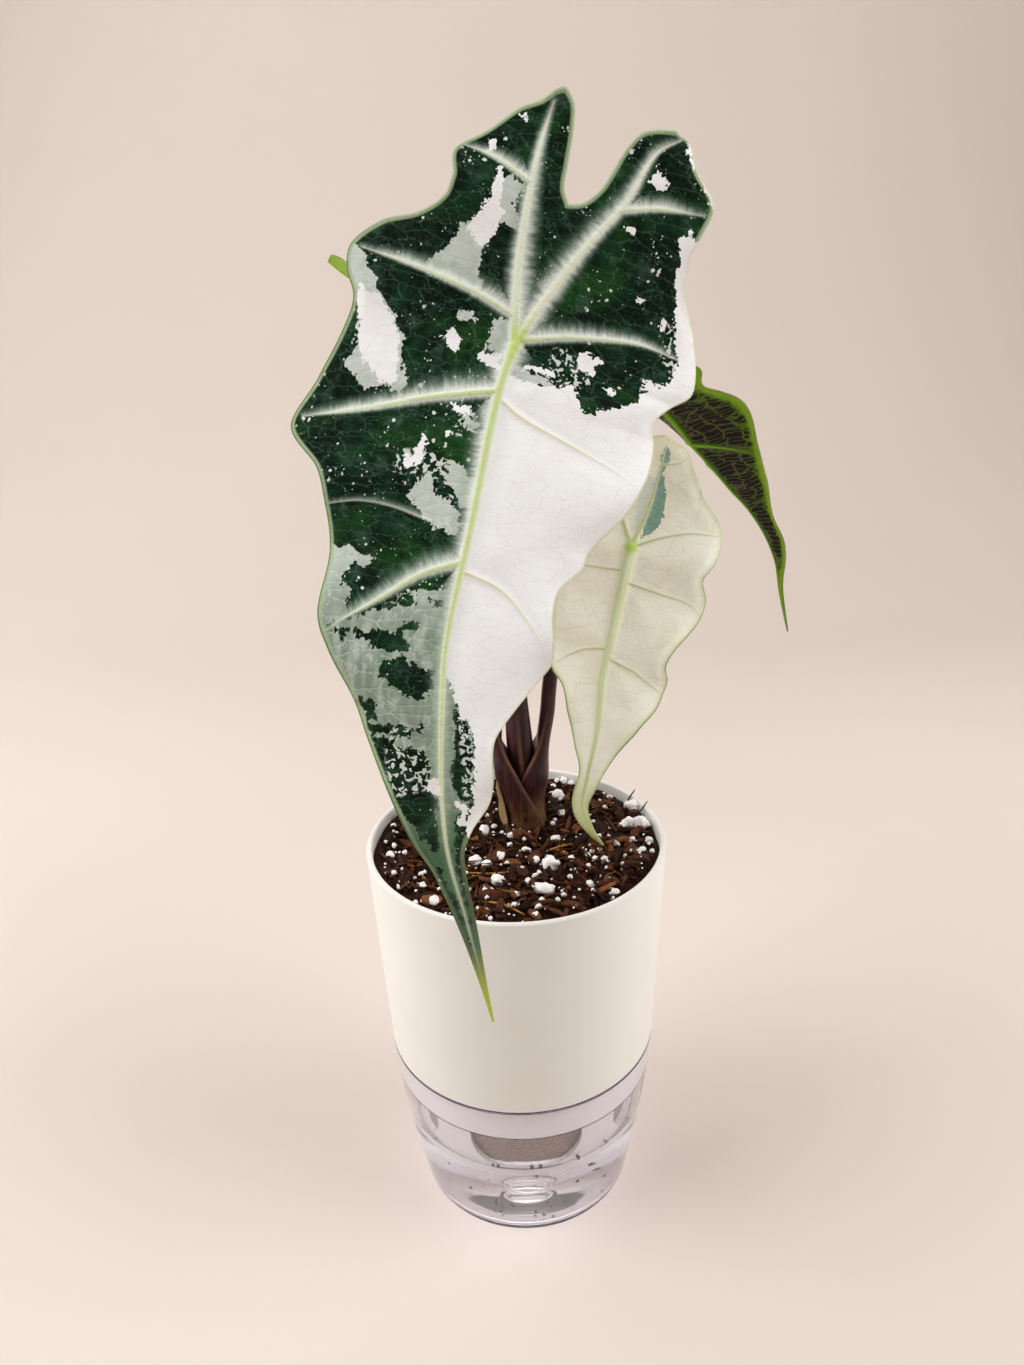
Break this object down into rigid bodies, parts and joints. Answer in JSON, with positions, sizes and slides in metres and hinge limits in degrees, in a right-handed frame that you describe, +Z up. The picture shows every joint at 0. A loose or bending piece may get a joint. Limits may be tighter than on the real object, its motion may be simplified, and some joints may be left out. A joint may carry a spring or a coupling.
{
  "type": "potted variegated alocasia polly in a self-watering pot",
  "caption": "Arrow-shaped variegated alocasia leaves on dark stalks, standing in bark mix in a cream planter over a clear water reservoir.",
  "frame": {"origin": "middle of the reservoir's flat underside", "axes": "+Z up, -Y towards the side that the broad leaf hangs over, +X to the right seen from there"},
  "size_m": [0.1684, 0.1572, 0.3959],
  "materials": {
    "clear_plastic": "clear moulded plastic with a faint violet cast, polished",
    "water": "still clear water",
    "cream_plastic": "satin moulded plastic",
    "felt": "damp grey-brown felt",
    "bark_mix": "damp bark, coir and perlite",
    "corm": "fibrous corm and pale roots",
    "purple_stalk": "smooth waxy purple-brown stalk",
    "dry_leaf": "papery dry sheath",
    "marbled_leaf": "leathery deep green leaf, half of it white, with pale veins",
    "cream_leaf": "soft cream leaf with pale green veins",
    "dark_leaf": "purple-black leaf underside with lime veins"
  },
  "bodies": {
    "root": {"reservoir": "clear_plastic", "water": "water", "planter": "cream_plastic", "wick_liner": "felt", "soil": "bark_mix", "rootstock": "corm", "petiole_marbled": "purple_stalk", "petiole_cream": "purple_stalk", "petiole_dark": "purple_stalk", "dry_sheath": "dry_leaf", "leaf_marbled": "marbled_leaf", "leaf_cream": "cream_leaf", "leaf_dark": "dark_leaf"}
  },
  "joints": []
}
